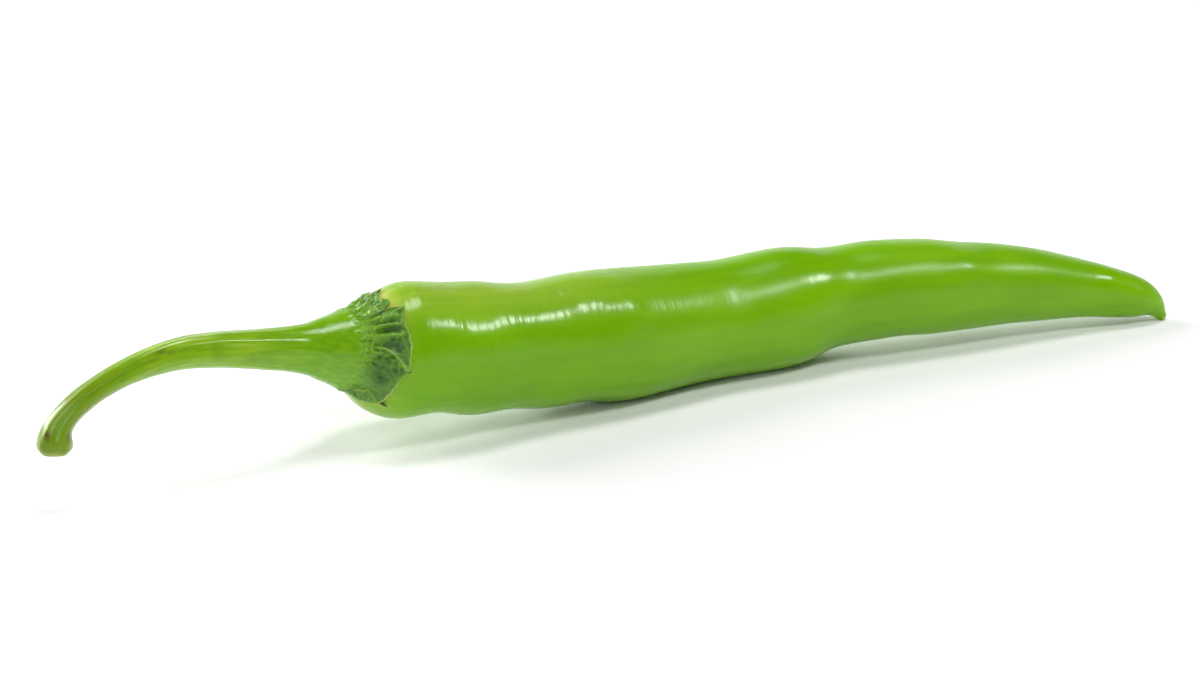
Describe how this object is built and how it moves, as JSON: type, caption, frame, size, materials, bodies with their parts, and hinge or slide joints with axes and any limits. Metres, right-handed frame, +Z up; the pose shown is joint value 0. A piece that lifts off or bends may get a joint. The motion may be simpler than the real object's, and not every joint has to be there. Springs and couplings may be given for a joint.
{
  "type": "chili pepper",
  "caption": "Long green chili pepper with a glossy tapering pod, a wrinkled calyx cap and a curved stem, lying on its side.",
  "frame": {"origin": "bottom centre of the bounding box, on the surface that the pepper lies on", "axes": "+X along the pepper from the stem's cut end towards the tip, +Z up, -Y the side that the picture shows"},
  "size_m": [0.2129, 0.0286, 0.0266],
  "materials": {
    "pod_skin": "glossy",
    "calyx_skin": "satin",
    "stem_skin": "satin"
  },
  "bodies": {
    "root": {"pod": "pod_skin", "calyx": "calyx_skin", "stem": "stem_skin"}
  },
  "joints": []
}
